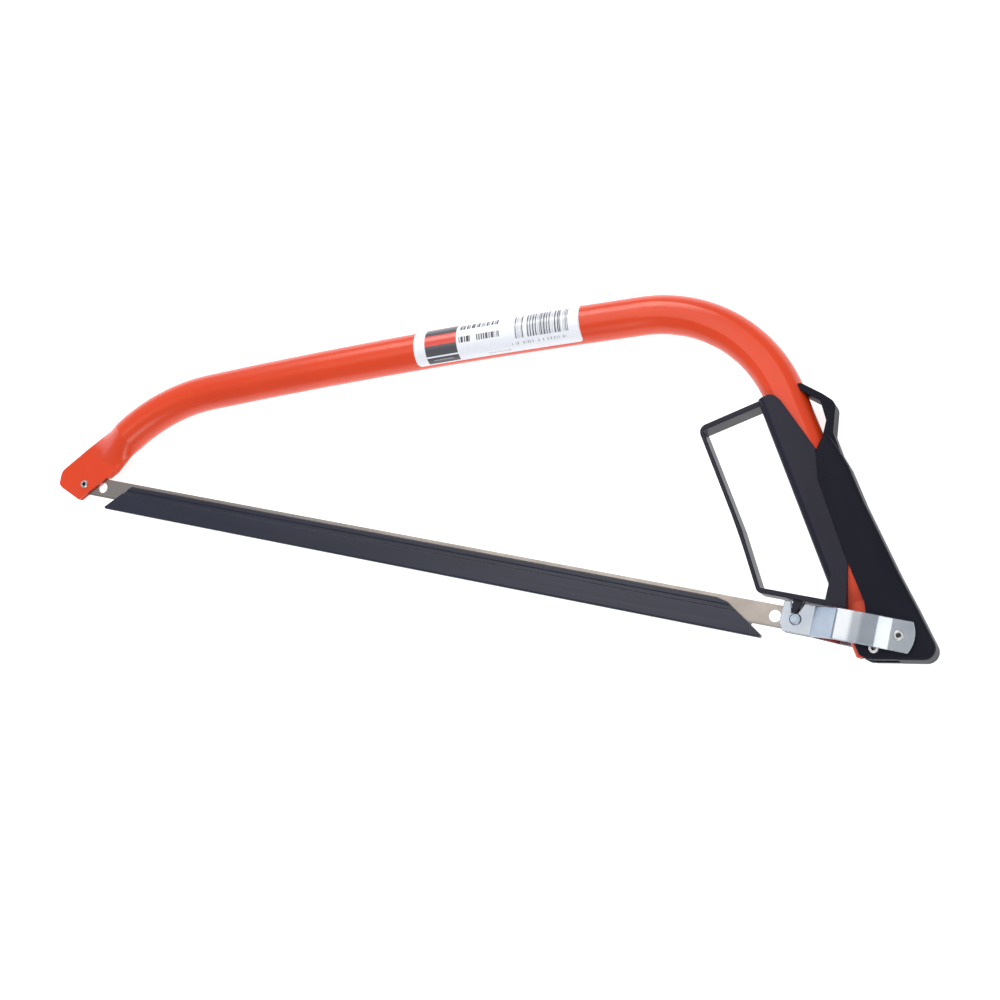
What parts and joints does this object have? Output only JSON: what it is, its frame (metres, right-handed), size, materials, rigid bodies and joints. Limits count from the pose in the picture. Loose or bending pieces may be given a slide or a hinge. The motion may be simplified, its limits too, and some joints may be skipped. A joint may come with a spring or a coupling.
{
  "type": "bow saw",
  "caption": "Bow saw with a bent steel tube frame, peg-tooth blade under a push-on cover, knuckle guard and an over-centre tension lever with link plates and a pull loop.",
  "frame": {"origin": "middle of the underside of the saw lying on its right side", "axes": "+X along the blade from the front nose to the handle, +Y across the saw from the teeth to the top of the bow, +Z out of the saw's left side"},
  "size_m": [0.6382, 0.2043, 0.0312],
  "materials": {
    "orange_enamel": "glossy orange stoving enamel over steel tube",
    "label_film": "printed white self-adhesive film",
    "nickel_rivet": "nickel-plated, lightly marked by the rivet tool",
    "plain_steel": "turned and zinc-plated",
    "blade_steel": "ground spring steel with a light oil film, blued tooth edge",
    "cover_plastic": "extruded dark plastic",
    "guard_plastic": "fine-grained moulded black plastic",
    "lever_plastic": "fine-grained moulded black plastic",
    "zinc_plate": "bright zinc-plated sheet steel"
  },
  "bodies": {
    "frame": {"bow_tube": "orange_enamel", "label": "label_film", "front_rivet": "nickel_rivet", "knuckle_guard": "guard_plastic", "pivot_sleeve": "plain_steel"},
    "lever": {"tension_lever": "lever_plastic", "pivot_rivet": "nickel_rivet", "link_bush": "plain_steel"},
    "links": {"link_plate_left": "zinc_plate", "link_plate_right": "zinc_plate", "link_rivet": "nickel_rivet", "hook_pin": "plain_steel"},
    "blade": {"blade": "blade_steel"},
    "cover": {"blade_cover": "cover_plastic"}
  },
  "joints": [
    {"name": "lever_pivot", "type": "hinge", "parent": "frame", "child": "lever", "pos_m": [0.2855, -0.0955, 0.0156], "axis": [0, 0, -1], "range_deg": [0, 95]},
    {"name": "link_pivot", "type": "hinge", "parent": "lever", "child": "links", "pos_m": [0.2981, -0.0861, 0.0156], "axis": [0, 0, 1], "range_deg": [0, 115]},
    {"name": "blade_pivot", "type": "hinge", "parent": "frame", "child": "blade", "pos_m": [-0.2962, -0.087, 0.0156], "axis": [0, 0, -1], "range_deg": [0, 5]},
    {"name": "cover_slide", "type": "slide", "parent": "blade", "child": "cover", "axis": [0, -1, 0], "range_m": [0, 0.04]}
  ],
  "couplings": [
    {"joint": "link_pivot", "follows": "lever_pivot", "ratio": 1.2},
    {"joint": "blade_pivot", "follows": "lever_pivot", "ratio": 0.05}
  ]
}
